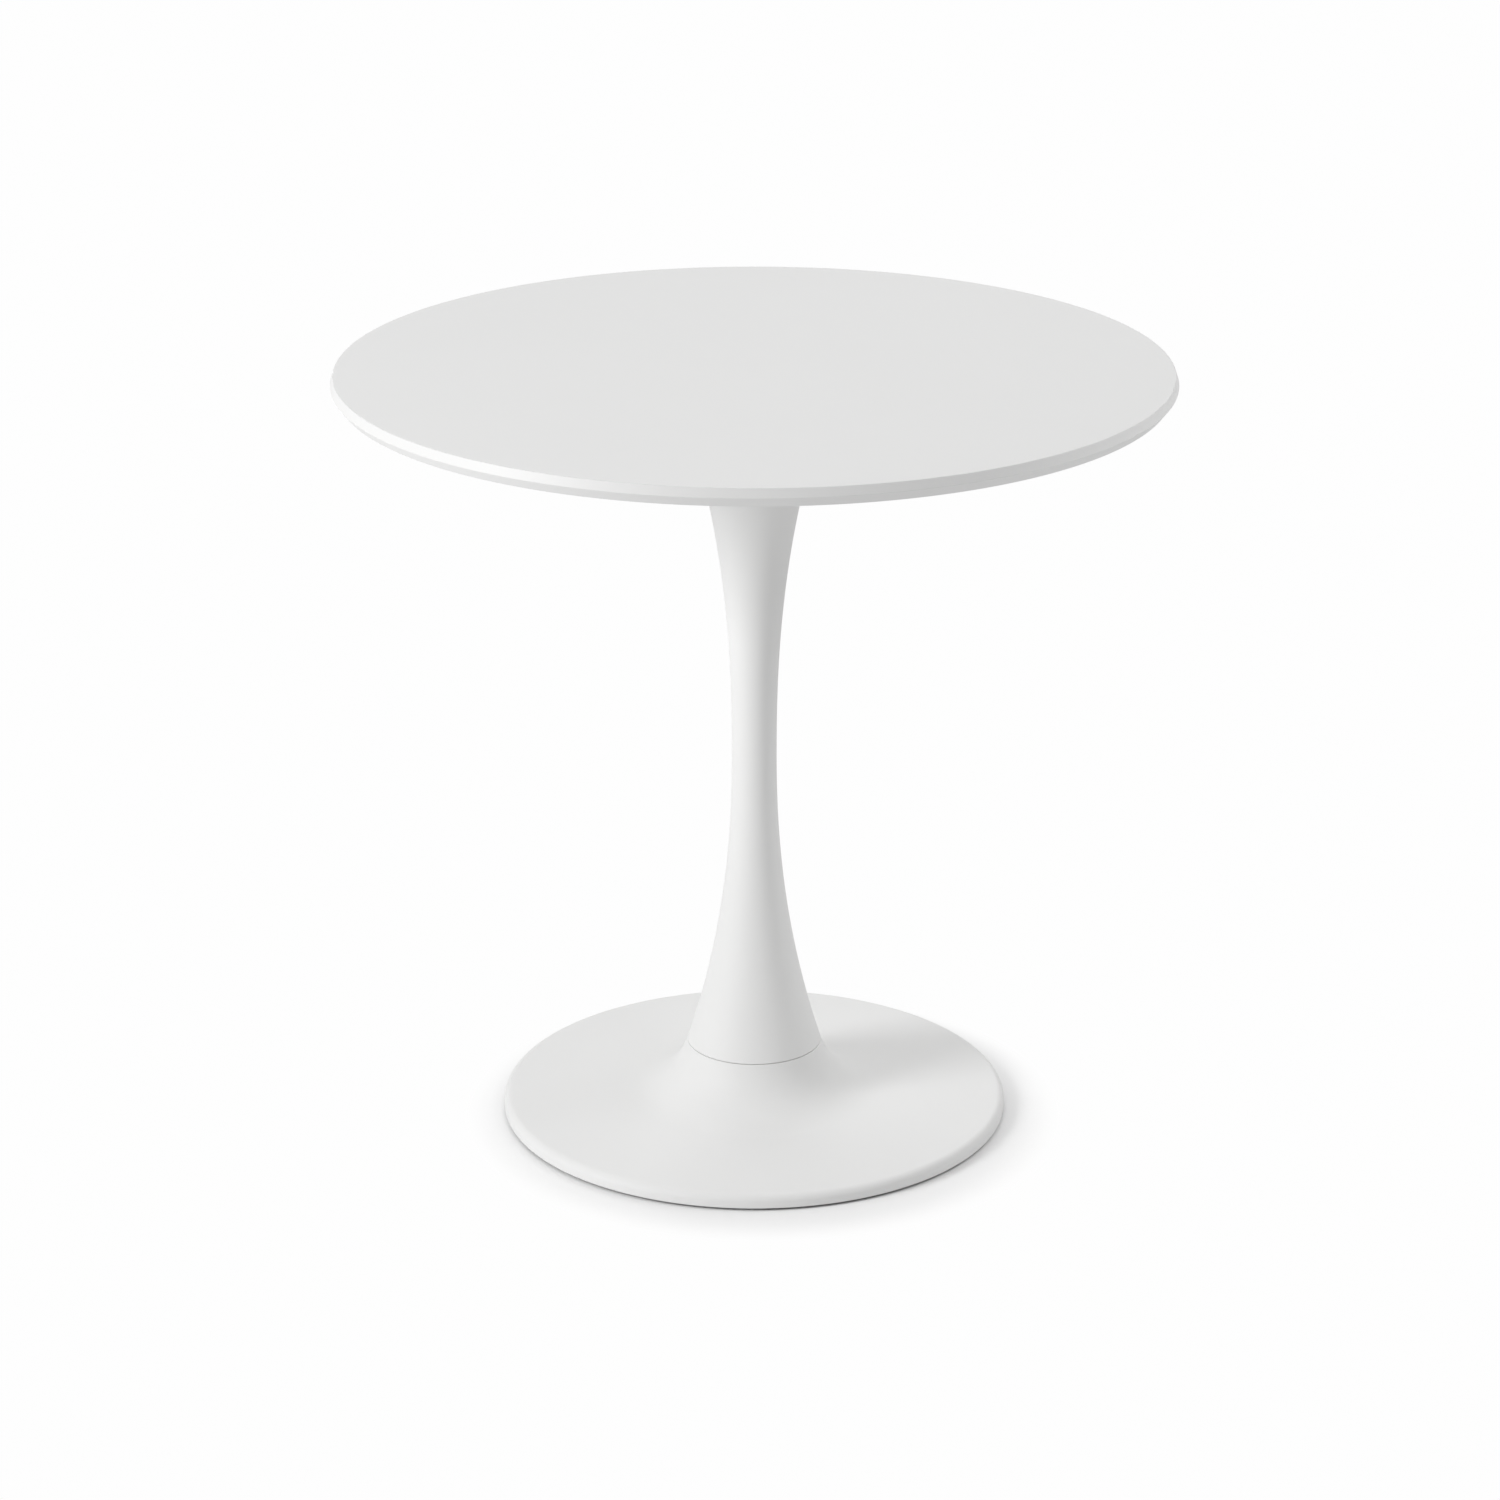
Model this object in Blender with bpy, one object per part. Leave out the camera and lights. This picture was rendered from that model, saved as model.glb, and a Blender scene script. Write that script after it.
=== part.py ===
"""Round pedestal table: a painted round top on a flared column and a weighted disc base.

Units are metres, +Z is up, and the origin is on the floor under the column's axis. The column,
the top and the base cover are turned shapes. An M12 tie rod clamps the mounting plate, the
column and the base together, and four levelling glides stand under the ballast plate.
"""

import math
from collections import namedtuple

import bmesh
import bpy
from mathutils import Vector

# Driving dimensions -------------------------------------------------------------------------

TABLE_HEIGHT = 0.760
TOP_DIAMETER = 0.800
TOP_THICKNESS = 0.018
BASE_DIAMETER = 0.500
GAP = 0.0003  # clearance between pieces that touch in the real table

# Table top
TOP_RADIUS = TOP_DIAMETER / 2
TOP_UNDERSIDE = TABLE_HEIGHT - TOP_THICKNESS
UNDER_BEVEL_WIDTH = 0.0075
UNDER_BEVEL_HEIGHT = 0.0095
EDGE_DRAFT = 0.003
TOP_CORNER_SIZE = 0.0012

# Column: the radius grows from the waist as a power of the distance from it
WAIST_RADIUS = 0.0218
WAIST_HEIGHT = 0.375
FOOT_RADIUS = 0.0665
MOUTH_RADIUS = 0.0752
LOWER_FLARE_POWER = 2.2
UPPER_FLARE_POWER = 2.35
COLUMN_WALL = 0.0025
MOUTH_FLANGE_INNER_RADIUS = 0.0615

# Seam between the column's foot and the base's collar
SEAM_HEIGHT = 0.0695
SEAM_GAP = 0.0005
FOOT_HEIGHT = SEAM_HEIGHT + SEAM_GAP / 2
LEDGE_HEIGHT = SEAM_HEIGHT - SEAM_GAP / 2

# Base cover
BASE_RADIUS = BASE_DIAMETER / 2
COVER_WALL = 0.002
RIM_BOTTOM = 0.0025
RIM_CORNER_RADIUS = 0.007
RIM_TOP = 0.0155
DISC_SLOPE = 0.05
COLLAR_FOOT_RADIUS = 0.128
COLLAR_TOP_SLOPE = 0.35  # outward run for each unit of drop, just under the seam
COLLAR_TOP_PULL = 0.026
COLLAR_FOOT_PULL = 0.038
SPIGOT_TOP_HEIGHT = 0.0775
SPIGOT_TOP_RADIUS = 0.0600
SPIGOT_ROOT_RADIUS = 0.0622

# Mounting plate and its fastenings
PLATE_TOP = TOP_UNDERSIDE - GAP
PLATE_THICKNESS = 0.005
PLATE_BOTTOM = PLATE_TOP - PLATE_THICKNESS
PLATE_RADIUS = 0.130
PLATE_CHAMFER = 0.001
WELL_MOUTH_RADIUS = 0.0335
WELL_BASE_RADIUS = 0.0295
WELL_WALL = 0.004
WELL_DEPTH = 0.0347
WELL_FLOOR_THICKNESS = 0.005
WELL_FLOOR = PLATE_TOP - WELL_DEPTH + WELL_FLOOR_THICKNESS
PLATE_SCREW_COUNT = 6
PLATE_SCREW_CIRCLE = 0.110
PLATE_SCREW_FIRST_ANGLE_DEG = 13.0
PLATE_SCREW_LENGTH = 0.016
PLATE_HOLE_RADIUS = 0.0034
INSERT_RADIUS = 0.0052
INSERT_BORE_RADIUS = 0.0034
INSERT_LENGTH = 0.012
LOCATING_RING_RADIUS = 0.0605
LOCATING_RING_WIDTH = 0.004
LOCATING_RING_HEIGHT = 0.0084

# Tie rod and its hardware (M12)
ROD_RADIUS = 0.0060
ROD_HOLE_RADIUS = 0.0065
ROD_BOTTOM = 0.0150
ROD_TOP = 0.7330
ROD_CHAMFER = 0.001
WASHER_RADIUS = 0.0120
WASHER_THICKNESS = 0.0025
LOCK_WASHER_RADIUS = 0.0105
LOCK_WASHER_THICKNESS = 0.003
LOCK_WASHER_SLOT_DEG = 8.0
NUT_HALF_FLATS = 0.0095
NUT_HEIGHT = 0.010
JAM_NUT_HEIGHT = 0.006

# Ballast plate, hub and the tube that carries the column
BALLAST_RADIUS = 0.2405
BALLAST_BOTTOM = 0.005
BALLAST_THICKNESS = 0.008
BALLAST_TOP = BALLAST_BOTTOM + BALLAST_THICKNESS
BALLAST_CHAMFER = 0.001
TUBE_RADIUS = 0.0630
TUBE_WALL = 0.004
HUB_RADIUS = 0.032
HUB_HEIGHT = 0.030
HUB_CHAMFER = 0.002
HUB_SCREW_COUNT = 4
HUB_SCREW_CIRCLE = 0.0205
HUB_SCREW_RADIUS = 0.0040
HUB_SCREW_HEAD_RADIUS = 0.0078
HUB_SCREW_LENGTH = 0.020
FOOT_RING_INNER_RADIUS = 0.050
FOOT_RING_HEIGHT = 0.008
GASKET_INNER_RADIUS = 0.2410
GASKET_OUTER_RADIUS = 0.2470
GASKET_BOTTOM = 0.0040
GASKET_TOP = 0.0105

# Levelling glides (M8)
GLIDE_COUNT = 4
GLIDE_CIRCLE = 0.195
GLIDE_FIRST_ANGLE_DEG = 45.0
PAD_RADIUS = 0.014
PAD_CHAMFER = 0.001
PAD_TOP = BALLAST_BOTTOM - GAP
PAD_ACCESS_RADIUS = 0.0035
STUD_RADIUS = 0.0040
STUD_TOP = 0.0140
STUD_HEAD_RADIUS = 0.0072
STUD_HEAD_BOTTOM = 0.0015
STUD_HEAD_TOP = 0.0034
STUD_CLEARANCE = 0.0004
BUSH_RADIUS = 0.0065
BUSH_FLANGE_RADIUS = 0.0085
BUSH_FLANGE_THICKNESS = 0.0012

# Facets round a full turn
TOP_SEGMENTS = 80
BASE_SEGMENTS = 56
COLUMN_SEGMENTS = 40
RING_SEGMENTS = 40
SMALL_SEGMENTS = 16
SCREW_SEGMENTS = 12
SMOOTH_ANGLE_DEG = 35.0

Ring = namedtuple("Ring", "radius height sides", defaults=(0,))


# Shape helpers --------------------------------------------------------------------------------


def ring_point(ring, angle):
    """Point of a ring at an angle: a circle, or a polygon whose half across flats is radius."""
    radius = ring.radius
    if ring.sides:
        half_side = math.pi / ring.sides
        radius = ring.radius / math.cos(angle % (2 * half_side) - half_side)
    return Vector((radius * math.cos(angle), radius * math.sin(angle), ring.height))


def loft_mesh(name, rings, segments, hollow=False):
    """Join rings into one closed body: capped at both ends, or a tube if hollow."""
    bm = bmesh.new()
    loops = []
    for ring in rings:
        angles = (2 * math.pi * step / segments for step in range(segments))
        loops.append([bm.verts.new(ring_point(ring, angle)) for angle in angles])
    pairs = list(zip(loops, loops[1:]))
    if hollow:
        pairs.append((loops[-1], loops[0]))
    for low, high in pairs:
        for step in range(segments):
            after = (step + 1) % segments
            bm.faces.new((low[step], low[after], high[after], high[step]))
    if not hollow:
        bm.faces.new(loops[0])
        bm.faces.new(loops[-1])
    return finish_mesh(name, bm)


def finish_mesh(name, bm):
    """Turn a bmesh into a mesh with outward faces, smooth except at its real edges."""
    bmesh.ops.recalc_face_normals(bm, faces=bm.faces)
    mesh = bpy.data.meshes.new(name)
    bm.to_mesh(mesh)
    bm.free()
    mesh.shade_smooth()
    mesh.set_sharp_from_angle(angle=math.radians(SMOOTH_ANGLE_DEG))
    return mesh


def add_object(name, mesh, material=None, location=(0, 0, 0), parent=None):
    """Link a mesh as a named object; its location is in its parent's frame."""
    if material and not mesh.materials:
        mesh.materials.append(material)
    obj = bpy.data.objects.new(name, mesh)
    obj.location = location
    obj.parent = parent
    bpy.context.scene.collection.objects.link(obj)
    return obj


def circle_spot(radius, index, count, first_angle=0.0):
    """Place of one of several points spread evenly on a circle."""
    angle = first_angle + 2 * math.pi * index / count
    return Vector((radius * math.cos(angle), radius * math.sin(angle), 0))


def arc(centre_radius, centre_height, radius, start_deg, end_deg, steps):
    """Rings along a quarter round or any other arc in the profile plane."""
    rings = []
    for step in range(steps + 1):
        angle = math.radians(start_deg + (end_deg - start_deg) * step / steps)
        ring_radius = centre_radius + radius * math.cos(angle)
        rings.append(Ring(ring_radius, centre_height + radius * math.sin(angle)))
    return rings


def drill(target, name, rings, spots):
    """Cut the same turned hole into the target at each spot."""
    mesh = loft_mesh(name, rings, SMALL_SEGMENTS)
    for number, spot in enumerate(spots, start=1):
        cutter = add_object(f"{name}_{number}", mesh, location=spot)
        cutter.hide_render = True
        cutter.display_type = "WIRE"
        cut = target.modifiers.new(cutter.name, "BOOLEAN")
        cut.operation = "DIFFERENCE"
        cut.solver = "EXACT"
        cut.object = cutter


# Materials ------------------------------------------------------------------------------------


def make_material(name, colour, roughness, metallic):
    material = bpy.data.materials.new(name)
    material.use_nodes = True
    shader = material.node_tree.nodes["Principled BSDF"]
    shader.inputs["Base Color"].default_value = (*colour, 1.0)
    shader.inputs["Roughness"].default_value = roughness
    shader.inputs["Metallic"].default_value = metallic
    return material


def white_lacquer():
    return make_material("white_lacquer", (0.83, 0.83, 0.82), 0.45, 0.0)


def white_powder_coat():
    return make_material("white_powder_coat", (0.83, 0.83, 0.82), 0.42, 0.0)


def zinc_steel():
    return make_material("zinc_steel", (0.58, 0.58, 0.60), 0.35, 1.0)


def black_steel():
    return make_material("black_steel", (0.05, 0.05, 0.055), 0.55, 0.2)


def turned_brass():
    return make_material("turned_brass", (0.78, 0.60, 0.30), 0.30, 1.0)


def grey_nylon():
    return make_material("grey_nylon", (0.22, 0.22, 0.23), 0.55, 0.0)


def black_rubber():
    return make_material("black_rubber", (0.03, 0.03, 0.03), 0.80, 0.0)


# Table top ------------------------------------------------------------------------------------


def table_top(material):
    """Round board: a bevel below, an edge that draws in a little upwards, a softened corner."""
    bevel_top = TOP_UNDERSIDE + UNDER_BEVEL_HEIGHT
    upper_radius = TOP_RADIUS - EDGE_DRAFT
    corner_draft = EDGE_DRAFT * TOP_CORNER_SIZE / (TABLE_HEIGHT - bevel_top)
    rings = [
        Ring(TOP_RADIUS - UNDER_BEVEL_WIDTH, TOP_UNDERSIDE),
        Ring(TOP_RADIUS, bevel_top),
        Ring(upper_radius + corner_draft, TABLE_HEIGHT - TOP_CORNER_SIZE),
        Ring(upper_radius - TOP_CORNER_SIZE, TABLE_HEIGHT),
    ]
    top = add_object("table_top", loft_mesh("table_top", rings, TOP_SEGMENTS), material)
    hole = [
        Ring(INSERT_RADIUS + GAP, TOP_UNDERSIDE - TOP_THICKNESS),
        Ring(INSERT_RADIUS + GAP, TOP_UNDERSIDE + INSERT_LENGTH + GAP),
    ]
    drill(top, "insert_hole", hole, plate_screw_spots())


def plate_screw_spots():
    first = math.radians(PLATE_SCREW_FIRST_ANGLE_DEG)
    count = PLATE_SCREW_COUNT
    return [circle_spot(PLATE_SCREW_CIRCLE, index, count, first) for index in range(count)]


def top_inserts(material):
    """Threaded inserts pressed into the board from below."""
    rings = [
        Ring(INSERT_RADIUS, TOP_UNDERSIDE),
        Ring(INSERT_RADIUS, TOP_UNDERSIDE + INSERT_LENGTH),
        Ring(INSERT_BORE_RADIUS, TOP_UNDERSIDE + INSERT_LENGTH),
        Ring(INSERT_BORE_RADIUS, TOP_UNDERSIDE),
    ]
    mesh = loft_mesh("top_insert", rings, SCREW_SEGMENTS, hollow=True)
    for number, spot in enumerate(plate_screw_spots(), start=1):
        add_object(f"top_insert_{number}", mesh, material, spot)


# Mounting plate -------------------------------------------------------------------------------


def mounting_plate(material):
    """Flat plate with a tapered well in its middle, where the tie rod's nut sits."""
    well_bottom = PLATE_TOP - WELL_DEPTH
    rings = [
        Ring(ROD_HOLE_RADIUS, well_bottom),
        Ring(WELL_BASE_RADIUS, well_bottom),
        Ring(WELL_MOUTH_RADIUS, PLATE_BOTTOM),
        Ring(PLATE_RADIUS - PLATE_CHAMFER, PLATE_BOTTOM),
        Ring(PLATE_RADIUS, PLATE_BOTTOM + PLATE_CHAMFER),
        Ring(PLATE_RADIUS, PLATE_TOP),
        Ring(WELL_MOUTH_RADIUS - WELL_WALL, PLATE_TOP),
        Ring(WELL_BASE_RADIUS - WELL_WALL, WELL_FLOOR),
        Ring(ROD_HOLE_RADIUS, WELL_FLOOR),
    ]
    mesh = loft_mesh("mounting_plate", rings, RING_SEGMENTS, hollow=True)
    plate = add_object("mounting_plate", mesh, material)
    hole = [
        Ring(PLATE_HOLE_RADIUS, PLATE_BOTTOM - PLATE_THICKNESS),
        Ring(PLATE_HOLE_RADIUS, PLATE_TOP + PLATE_THICKNESS),
    ]
    drill(plate, "plate_hole", hole, plate_screw_spots())


def plate_screws(material):
    """M6 button-head screws with hex sockets, heads down, from the plate into the board."""
    head_radius = 0.0055
    head_height = 0.0033
    shank_radius = 0.0030
    socket_half_flats = 0.0020
    socket_depth = 0.0020
    chamfer = 0.0006
    head_top = PLATE_BOTTOM - GAP
    head_bottom = head_top - head_height
    tip = head_top + PLATE_SCREW_LENGTH
    rings = [
        Ring(socket_half_flats, head_bottom + socket_depth, 6),
        Ring(socket_half_flats, head_bottom, 6),
        Ring(head_radius * 0.62, head_bottom),
        Ring(head_radius * 0.90, head_bottom + head_height * 0.45),
        Ring(head_radius, head_top),
        Ring(shank_radius, head_top),
        Ring(shank_radius, tip - chamfer),
        Ring(shank_radius - chamfer, tip),
    ]
    mesh = loft_mesh("plate_screw", rings, SCREW_SEGMENTS)
    for number, spot in enumerate(plate_screw_spots(), start=1):
        add_object(f"plate_screw_{number}", mesh, material, spot)


def locating_ring(material):
    """Ring under the mounting plate that centres the column's mouth."""
    top = PLATE_BOTTOM - GAP
    inner_radius = LOCATING_RING_RADIUS - LOCATING_RING_WIDTH
    rings = [
        Ring(LOCATING_RING_RADIUS, top - LOCATING_RING_HEIGHT),
        Ring(LOCATING_RING_RADIUS, top),
        Ring(inner_radius, top),
        Ring(inner_radius, top - LOCATING_RING_HEIGHT),
    ]
    mesh = loft_mesh("locating_ring", rings, RING_SEGMENTS, hollow=True)
    add_object("locating_ring", mesh, material)


# Column ---------------------------------------------------------------------------------------


def column_radius(height):
    """Outer radius of the column at a height above the floor."""
    if height < WAIST_HEIGHT:
        part = (WAIST_HEIGHT - height) / (WAIST_HEIGHT - SEAM_HEIGHT)
        return WAIST_RADIUS + (FOOT_RADIUS - WAIST_RADIUS) * part**LOWER_FLARE_POWER
    part = (height - WAIST_HEIGHT) / (TOP_UNDERSIDE - WAIST_HEIGHT)
    return WAIST_RADIUS + (MOUTH_RADIUS - WAIST_RADIUS) * part**UPPER_FLARE_POWER


def column_inner_radius(height):
    """Inner radius, one wall thickness inside the outer surface measured square to it."""
    step = 0.001
    slope = (column_radius(height + step) - column_radius(height - step)) / (2 * step)
    return column_radius(height) - COLUMN_WALL * math.hypot(1, slope)


def evenly(start, end, steps):
    return [start + (end - start) * step / steps for step in range(steps + 1)]


def column_shell(material):
    """Flared one-piece tube whose mouth turns inward as a flat flange."""
    mouth_top = PLATE_BOTTOM - GAP
    flange_bottom = mouth_top - COLUMN_WALL
    outer = [Ring(column_radius(z), z) for z in evenly(FOOT_HEIGHT, mouth_top, 16)]
    inner = [Ring(column_inner_radius(z), z) for z in evenly(flange_bottom, FOOT_HEIGHT, 10)]
    flange = [
        Ring(MOUTH_FLANGE_INNER_RADIUS, mouth_top),
        Ring(MOUTH_FLANGE_INNER_RADIUS, flange_bottom),
    ]
    mesh = loft_mesh("column_shell", outer + flange + inner, COLUMN_SEGMENTS, hollow=True)
    add_object("column_shell", mesh, material)


def foot_ring(material):
    """Tapered ring welded inside the column's foot; it rests on the collar's spigot."""
    bottom = SPIGOT_TOP_HEIGHT + GAP
    top = bottom + FOOT_RING_HEIGHT
    weld_gap = 2 * GAP
    rings = [
        Ring(column_inner_radius(bottom) - weld_gap, bottom),
        Ring(column_inner_radius(top) - weld_gap, top),
        Ring(FOOT_RING_INNER_RADIUS, top),
        Ring(FOOT_RING_INNER_RADIUS, bottom),
    ]
    add_object("foot_ring", loft_mesh("foot_ring", rings, COLUMN_SEGMENTS, hollow=True), material)


# Tie rod and its hardware ---------------------------------------------------------------------


def tie_rod(material):
    rings = [
        Ring(ROD_RADIUS - ROD_CHAMFER, ROD_BOTTOM),
        Ring(ROD_RADIUS, ROD_BOTTOM + ROD_CHAMFER),
        Ring(ROD_RADIUS, ROD_TOP - ROD_CHAMFER),
        Ring(ROD_RADIUS - ROD_CHAMFER, ROD_TOP),
    ]
    add_object("tie_rod", loft_mesh("tie_rod", rings, SMALL_SEGMENTS), material)


def rod_washer(material):
    bottom = WELL_FLOOR + GAP
    top = bottom + WASHER_THICKNESS
    rings = [
        Ring(WASHER_RADIUS, bottom),
        Ring(WASHER_RADIUS, top),
        Ring(ROD_HOLE_RADIUS, top),
        Ring(ROD_HOLE_RADIUS, bottom),
    ]
    add_object("rod_washer", loft_mesh("rod_washer", rings, 24, hollow=True), material)
    return top


def rod_lock_washer(material, bottom):
    """Split spring washer: a square section swept round all but a narrow slot."""
    top = bottom + LOCK_WASHER_THICKNESS
    corners = [
        (ROD_HOLE_RADIUS, bottom),
        (LOCK_WASHER_RADIUS, bottom),
        (LOCK_WASHER_RADIUS, top),
        (ROD_HOLE_RADIUS, top),
    ]
    steps = 20
    start = math.radians(LOCK_WASHER_SLOT_DEG / 2)
    bm = bmesh.new()
    sections = []
    for angle in evenly(start, 2 * math.pi - start, steps):
        points = [(r * math.cos(angle), r * math.sin(angle), z) for r, z in corners]
        sections.append([bm.verts.new(point) for point in points])
    for low, high in zip(sections, sections[1:]):
        for side in range(4):
            after = (side + 1) % 4
            bm.faces.new((low[side], low[after], high[after], high[side]))
    bm.faces.new(sections[0])
    bm.faces.new(sections[-1])
    add_object("rod_lock_washer", finish_mesh("rod_lock_washer", bm), material)
    return top


def hex_nut(name, material, bottom, height):
    """Hex nut with chamfered corners top and bottom."""
    corner = NUT_HALF_FLATS / math.cos(math.pi / 6)
    chamfer = corner - NUT_HALF_FLATS
    top = bottom + height
    rings = [
        Ring(NUT_HALF_FLATS - chamfer / 2, bottom),
        Ring(NUT_HALF_FLATS, bottom + chamfer / 2, 6),
        Ring(NUT_HALF_FLATS, top - chamfer / 2, 6),
        Ring(NUT_HALF_FLATS - chamfer / 2, top),
        Ring(ROD_HOLE_RADIUS, top),
        Ring(ROD_HOLE_RADIUS, bottom),
    ]
    add_object(name, loft_mesh(name, rings, 24, hollow=True), material)
    return top


# Base -----------------------------------------------------------------------------------------


def disc_height(radius):
    """Height of the cover's gently sloping disc at a radius outside the collar."""
    return RIM_TOP + (BASE_RADIUS - RIM_CORNER_RADIUS - radius) * DISC_SLOPE


def collar_curve(steps):
    """Points and outward normals down the collar, from the seam to the sloping disc."""
    top = Vector((FOOT_RADIUS, LEDGE_HEIGHT))
    foot = Vector((COLLAR_FOOT_RADIUS, disc_height(COLLAR_FOOT_RADIUS)))
    down = Vector((COLLAR_TOP_SLOPE, -1)).normalized()
    inward = Vector((-1, DISC_SLOPE)).normalized()
    handle_top = top + down * COLLAR_TOP_PULL
    handle_foot = foot + inward * COLLAR_FOOT_PULL
    curve = []
    for step in range(steps + 1):
        t = step / steps
        u = 1 - t
        point = u**3 * top + 3 * u * u * t * handle_top + 3 * u * t * t * handle_foot + t**3 * foot
        tangent = u * u * (handle_top - top) + 2 * u * t * (handle_foot - handle_top)
        tangent += t * t * (foot - handle_foot)
        tangent.normalize()
        curve.append((point, Vector((-tangent.y, tangent.x))))
    return curve


def base_cover(material):
    """Thin disc with a rounded rim; its collar ends in a ledge and a spigot for the column."""
    rim_centre = (BASE_RADIUS - RIM_CORNER_RADIUS, RIM_TOP - RIM_CORNER_RADIUS)
    inner_corner = RIM_CORNER_RADIUS - COVER_WALL
    ledge_bottom = LEDGE_HEIGHT - COVER_WALL
    ledge_fillet = COLLAR_TOP_SLOPE * COVER_WALL
    outer = [Ring(SPIGOT_TOP_RADIUS, SPIGOT_TOP_HEIGHT), Ring(SPIGOT_ROOT_RADIUS, LEDGE_HEIGHT)]
    outer += [Ring(point.x, point.y) for point, normal in collar_curve(9)]
    outer += arc(*rim_centre, RIM_CORNER_RADIUS, 90, 0, 3)
    outer.append(Ring(BASE_RADIUS, RIM_BOTTOM))
    inner = [Ring(BASE_RADIUS - COVER_WALL, RIM_BOTTOM)]
    inner += arc(*rim_centre, inner_corner, 0, 90, 2)
    offset = [point - normal * COVER_WALL for point, normal in collar_curve(5)]
    inner += [Ring(point.x, point.y) for point in reversed(offset[1:])]
    inner.append(Ring(FOOT_RADIUS + ledge_fillet - COVER_WALL, ledge_bottom))
    inner.append(Ring(SPIGOT_ROOT_RADIUS - COVER_WALL, ledge_bottom))
    inner.append(Ring(SPIGOT_TOP_RADIUS - COVER_WALL, SPIGOT_TOP_HEIGHT))
    mesh = loft_mesh("base_cover", outer + inner, BASE_SEGMENTS, hollow=True)
    add_object("base_cover", mesh, material)


def support_tube(material):
    """Tube that carries the collar's ledge, and so the column, on the ballast plate."""
    bottom = BALLAST_TOP + GAP
    top = LEDGE_HEIGHT - COVER_WALL - GAP
    rings = [
        Ring(TUBE_RADIUS, bottom),
        Ring(TUBE_RADIUS, top),
        Ring(TUBE_RADIUS - TUBE_WALL, top),
        Ring(TUBE_RADIUS - TUBE_WALL, bottom),
    ]
    mesh = loft_mesh("support_tube", rings, RING_SEGMENTS, hollow=True)
    add_object("support_tube", mesh, material)


def hub_screw_spots():
    count = HUB_SCREW_COUNT
    return [circle_spot(HUB_SCREW_CIRCLE, index, count) for index in range(count)]


def glide_spots():
    first = math.radians(GLIDE_FIRST_ANGLE_DEG)
    count = GLIDE_COUNT
    return [circle_spot(GLIDE_CIRCLE, index, count, first) for index in range(count)]


def hub_block(material):
    """Turned block that the tie rod screws into."""
    bottom = BALLAST_TOP + GAP
    top = bottom + HUB_HEIGHT
    bore = ROD_RADIUS + GAP
    rings = [
        Ring(HUB_RADIUS, bottom),
        Ring(HUB_RADIUS, top - HUB_CHAMFER),
        Ring(HUB_RADIUS - HUB_CHAMFER, top),
        Ring(bore, top),
        Ring(bore, bottom),
    ]
    hub = add_object("hub_block", loft_mesh("hub_block", rings, 32, hollow=True), material)
    screw_end = BALLAST_BOTTOM + GAP + HUB_SCREW_LENGTH
    hole = [
        Ring(HUB_SCREW_RADIUS + GAP, bottom - BALLAST_THICKNESS),
        Ring(HUB_SCREW_RADIUS + GAP, screw_end + GAP),
    ]
    drill(hub, "hub_hole", hole, hub_screw_spots())
    return top


def base_plate(material):
    """Heavy plate with countersunk holes for the hub's screws and holes for the glide bushes."""
    chamfer = BALLAST_CHAMFER
    rings = [
        Ring(BALLAST_RADIUS - chamfer, BALLAST_BOTTOM),
        Ring(BALLAST_RADIUS, BALLAST_BOTTOM + chamfer),
        Ring(BALLAST_RADIUS, BALLAST_TOP - chamfer),
        Ring(BALLAST_RADIUS - chamfer, BALLAST_TOP),
    ]
    plate = add_object("base_plate", loft_mesh("base_plate", rings, BASE_SEGMENTS), material)
    sink_depth = HUB_SCREW_HEAD_RADIUS - HUB_SCREW_RADIUS
    clearance = 2 * GAP
    countersunk = [
        Ring(HUB_SCREW_HEAD_RADIUS + clearance + BALLAST_THICKNESS, -BALLAST_THICKNESS),
        Ring(HUB_SCREW_HEAD_RADIUS + clearance, 0),
        Ring(HUB_SCREW_RADIUS + clearance, sink_depth),
        Ring(HUB_SCREW_RADIUS + clearance, 2 * BALLAST_THICKNESS),
    ]
    raised = [Ring(ring.radius, ring.height + BALLAST_BOTTOM) for ring in countersunk]
    drill(plate, "countersunk_hole", raised, hub_screw_spots())
    bush_hole = [
        Ring(BUSH_RADIUS + GAP, BALLAST_BOTTOM - BALLAST_THICKNESS),
        Ring(BUSH_RADIUS + GAP, BALLAST_TOP + BALLAST_THICKNESS),
    ]
    drill(plate, "bush_hole", bush_hole, glide_spots())


def hub_screws(material):
    """M8 countersunk screws with hex sockets, flush with the ballast plate's underside."""
    socket_half_flats = 0.0025
    socket_depth = 0.0025
    chamfer = 0.0008
    bottom = BALLAST_BOTTOM + GAP
    tip = bottom + HUB_SCREW_LENGTH
    rings = [
        Ring(socket_half_flats, bottom + socket_depth, 6),
        Ring(socket_half_flats, bottom, 6),
        Ring(HUB_SCREW_HEAD_RADIUS, bottom),
        Ring(HUB_SCREW_RADIUS, bottom + HUB_SCREW_HEAD_RADIUS - HUB_SCREW_RADIUS),
        Ring(HUB_SCREW_RADIUS, tip - chamfer),
        Ring(HUB_SCREW_RADIUS - chamfer, tip),
    ]
    mesh = loft_mesh("hub_screw", rings, SCREW_SEGMENTS)
    for number, spot in enumerate(hub_screw_spots(), start=1):
        add_object(f"hub_screw_{number}", mesh, material, spot)


def rim_gasket(material):
    """Rubber ring that centres the cover's rim on the ballast plate."""
    rings = [
        Ring(GASKET_OUTER_RADIUS, GASKET_BOTTOM),
        Ring(GASKET_OUTER_RADIUS, GASKET_TOP),
        Ring(GASKET_INNER_RADIUS, GASKET_TOP),
        Ring(GASKET_INNER_RADIUS, GASKET_BOTTOM),
    ]
    mesh = loft_mesh("rim_gasket", rings, BASE_SEGMENTS, hollow=True)
    add_object("rim_gasket", mesh, material)


# Levelling glides -----------------------------------------------------------------------------


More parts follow.
